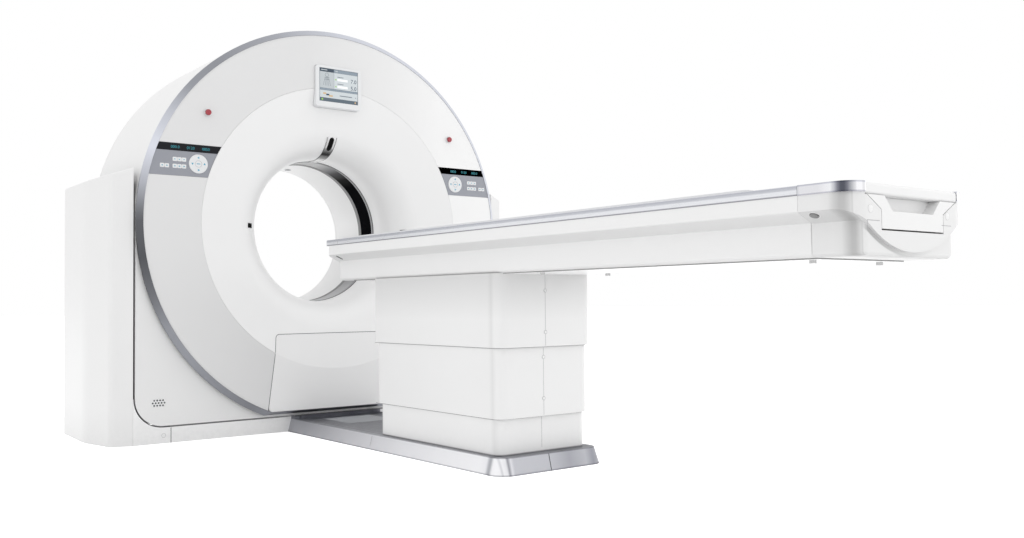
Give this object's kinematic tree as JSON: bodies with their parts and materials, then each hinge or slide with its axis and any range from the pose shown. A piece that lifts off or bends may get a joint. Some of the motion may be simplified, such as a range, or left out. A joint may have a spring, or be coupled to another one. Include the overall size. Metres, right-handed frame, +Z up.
{
  "type": "ct scanner",
  "caption": "Computed tomography scanner: ring-shaped gantry that tilts between side pillars, and a patient table that lifts and slides its top into the bore.",
  "frame": {"origin": "on the floor, straight below the isocentre, where the scan plane meets the bore's axis", "axes": "+X to the right seen from the patient table, +Y along the bore away from the table, +Z up"},
  "size_m": [2.1572, 3.662, 1.9008],
  "materials": {
    "casing_white": "satin paint",
    "skirt_grey": "fine grain",
    "rim_silver": "silver paint, satin",
    "frame_steel": "matt",
    "bearing_steel": "turned",
    "drive_grey": "hammer finish",
    "stator_alloy": "cast",
    "window_grey": "smooth",
    "display_case": "silver paint",
    "display_screen": "glossy",
    "panel_grey": "fine grain",
    "pad_white": "satin",
    "stop_red": "glossy",
    "laser_chrome": "polished",
    "laser_black": "glossy",
    "grille_dark": "matt",
    "brush_resin": "matt",
    "rotor_alloy": "machined",
    "slip_brass": "polished",
    "tube_housing": "satin",
    "collimator_dark": "matt",
    "detector_case": "anodised",
    "generator_case": "painted",
    "exchanger_fins": "bare",
    "electronics_case": "anodised",
    "base_paint": "silver metallic",
    "hatch_grey": "matt",
    "lift_alloy": "extruded",
    "column_white": "satin",
    "table_frame_alloy": "extruded",
    "table_white": "satin",
    "under_grey": "matt",
    "rail_alloy": "satin",
    "trim_chrome": "polished",
    "bumper_rubber": "matt",
    "knob_grey": "matt",
    "cradle_composite": "satin",
    "carriage_grey": "painted",
    "end_cover_white": "satin",
    "handle_white": "satin"
  },
  "bodies": {
    "stand": {"base_frame": "frame_steel", "side_cover_left": "casing_white", "side_cover_right": "casing_white", "front_skirt": "skirt_grey", "trunnion_bearings": "bearing_steel", "tilt_gearmotor": "drive_grey", "table_base": "base_paint", "base_hatch": "hatch_grey", "column_cover_lower": "column_white", "lift_column_fixed": "lift_alloy"},
    "tilting_gantry": {"stator_frame": "stator_alloy", "bearing_outer_race": "bearing_steel", "brush_block": "brush_resin", "front_cover": "casing_white", "fascia_ring": "casing_white", "bore_funnel": "casing_white", "scan_window": "window_grey", "bore_liner": "casing_white", "rear_cover": "casing_white", "drum_mantle": "casing_white", "rim_ring": "rim_silver", "access_door": "casing_white", "display_bezel": "display_case", "display_glass": "display_screen", "control_panel_left": "panel_grey", "control_panel_right": "panel_grey", "laser_strip": "laser_chrome", "side_laser_windows": "laser_black", "speaker_grille": "grille_dark"},
    "rotor": {"rotor_drum": "rotor_alloy", "bearing_inner_race": "bearing_steel", "slip_ring": "slip_brass", "xray_tube": "tube_housing", "collimator": "collimator_dark", "detector_arc": "detector_case", "high_voltage_generator": "generator_case", "heat_exchanger": "exchanger_fins", "data_box": "electronics_case"},
    "stop_left": {"emergency_stop_left": "stop_red"},
    "stop_right": {"emergency_stop_right": "stop_red"},
    "pad_left": {"jog_pad_left": "pad_white"},
    "pad_right": {"jog_pad_right": "pad_white"},
    "column_middle": {"column_cover_middle": "column_white"},
    "lift_middle": {"lift_column_middle": "lift_alloy"},
    "table": {"column_cover_upper": "column_white", "table_frame": "table_frame_alloy", "table_cover_left": "table_white", "table_cover_right": "table_white", "head_cover": "table_white", "foot_cover": "table_white", "under_plate": "under_grey", "rail_left": "rail_alloy", "rail_right": "rail_alloy", "corner_trims": "trim_chrome", "bumpers": "bumper_rubber"},
    "release": {"release_knob": "knob_grey"},
    "sliding_top": {"cradle": "cradle_composite", "carriage": "carriage_grey", "carriage_end_cover": "end_cover_white", "push_handle": "handle_white"}
  },
  "joints": [
    {"name": "gantry_tilt", "type": "hinge", "parent": "stand", "child": "tilting_gantry", "pos_m": [0, 0, 0.955], "axis": [1, 0, 0], "range_deg": [-20, 20]},
    {"name": "rotor_spin", "type": "hinge", "parent": "tilting_gantry", "child": "rotor", "pos_m": [0, 0, 0.955], "axis": [0, 1, 0], "continuous": true},
    {"name": "table_lift", "type": "slide", "parent": "stand", "child": "table", "axis": [0, 0, 1], "range_m": [-0.36, 0]},
    {"name": "column_cover_follow", "type": "slide", "parent": "stand", "child": "column_middle", "axis": [0, 0, 1], "range_m": [-0.12, 0]},
    {"name": "lift_column_follow", "type": "slide", "parent": "stand", "child": "lift_middle", "axis": [0, 0, 1], "range_m": [-0.18, 0]},
    {"name": "cradle_slide", "type": "slide", "parent": "table", "child": "sliding_top", "axis": [0, 1, 0], "range_m": [0, 1.7]},
    {"name": "emergency_stop_left_press", "type": "slide", "parent": "tilting_gantry", "child": "stop_left", "axis": [0, 1, 0], "range_m": [0, 0.004], "stiffness_N_per_m": 5000, "springref_m": -0.0005},
    {"name": "jog_pad_left_press", "type": "slide", "parent": "tilting_gantry", "child": "pad_left", "axis": [0, 1, 0], "range_m": [0, 0.0015], "stiffness_N_per_m": 4000, "springref_m": -0.001},
    {"name": "emergency_stop_right_press", "type": "slide", "parent": "tilting_gantry", "child": "stop_right", "axis": [0, 1, 0], "range_m": [0, 0.004], "stiffness_N_per_m": 5000, "springref_m": -0.0005},
    {"name": "jog_pad_right_press", "type": "slide", "parent": "tilting_gantry", "child": "pad_right", "axis": [0, 1, 0], "range_m": [0, 0.0015], "stiffness_N_per_m": 4000, "springref_m": -0.001},
    {"name": "release_knob_press", "type": "slide", "parent": "table", "child": "release", "axis": [0.4191, 0, 0.908], "range_m": [0, 0.003], "stiffness_N_per_m": 1500, "springref_m": -0.001}
  ],
  "couplings": [
    {"joint": "column_cover_follow", "follows": "table_lift", "ratio": 0.33333},
    {"joint": "lift_column_follow", "follows": "table_lift", "ratio": 0.5}
  ]
}
